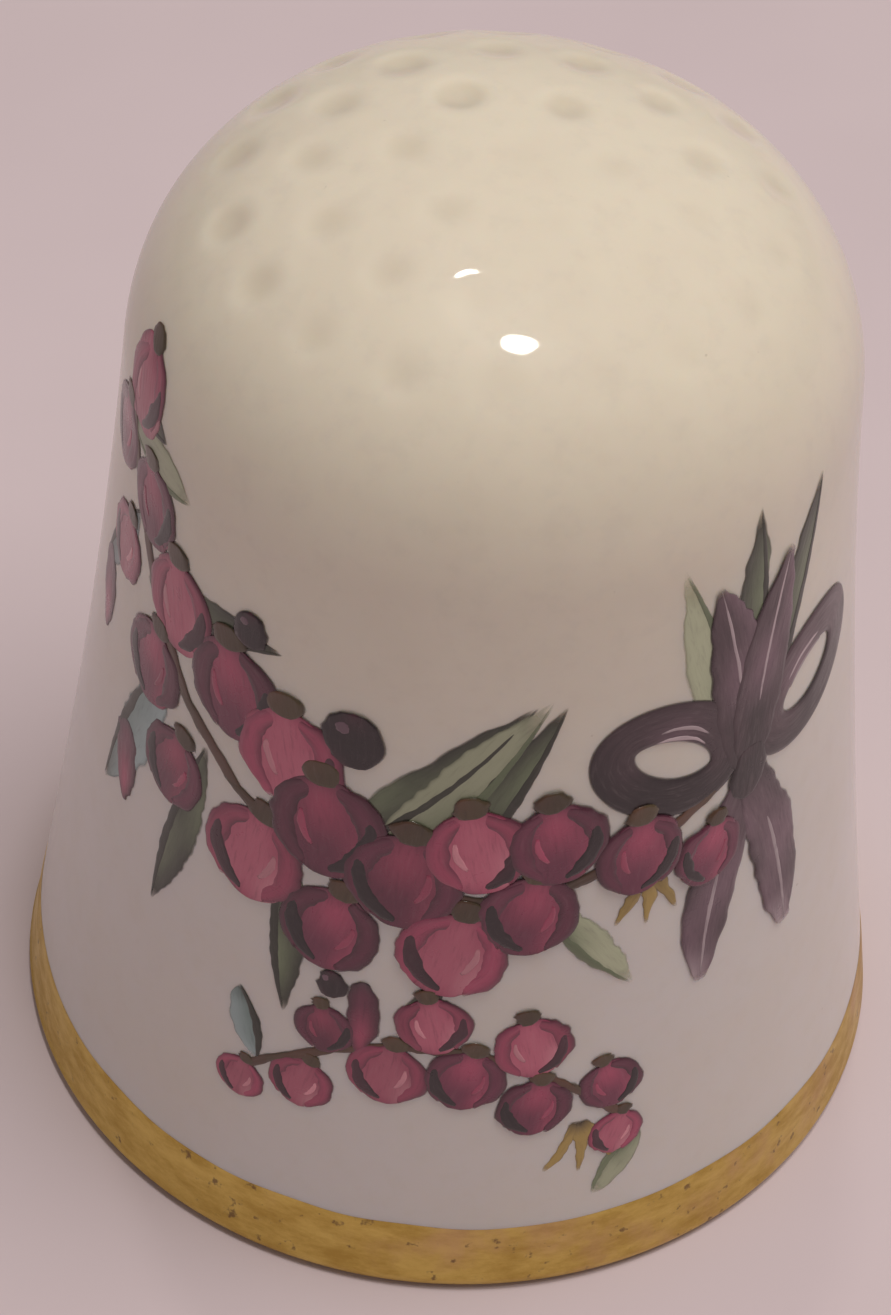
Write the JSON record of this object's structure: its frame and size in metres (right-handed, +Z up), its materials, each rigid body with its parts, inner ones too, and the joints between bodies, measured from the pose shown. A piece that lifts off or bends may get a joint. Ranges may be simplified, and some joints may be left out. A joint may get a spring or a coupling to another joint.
{
  "type": "sewing thimble",
  "caption": "Flared bone-china sewing thimble with a dimpled crown, a gilt foot band and hand-painted bell flowers, leaves and a ribbon bow.",
  "frame": {"origin": "centre of the foot ring, on the plane the thimble stands on", "axes": "+Z up along the thimble's axis to the crown; the painted face looks along -Y; +X is to the right of the painted face"},
  "size_m": [0.024, 0.024, 0.0292],
  "materials": {
    "biscuit_china": "unglazed, matt",
    "clear_glaze": "high gloss, faintly warm",
    "gilt": "burnished gold, brushed on and worn",
    "dark_plum_enamel": "fired enamel, glossy",
    "plum_enamel": "fired enamel, glossy",
    "rose_enamel": "fired enamel, glossy",
    "aubergine_enamel": "fired enamel, glossy",
    "brown_enamel": "fired enamel, glossy",
    "green_enamel": "fired enamel, glossy",
    "blue_enamel": "fired enamel, thin wash",
    "ochre_enamel": "fired enamel, glossy",
    "pale_green_enamel": "fired enamel, thin wash"
  },
  "bodies": {
    "root": {"china_body": "biscuit_china", "outer_glaze": "clear_glaze", "inner_glaze": "clear_glaze", "gilt_foot_band": "gilt", "dark_buds": "dark_plum_enamel", "plum_blossoms": "plum_enamel", "rose_blossoms": "rose_enamel", "ribbon_bow": "aubergine_enamel", "brown_stems": "brown_enamel", "green_leaves": "green_enamel", "blue_leaves": "blue_enamel", "ochre_grass": "ochre_enamel", "green_washes": "pale_green_enamel"}
  },
  "joints": []
}
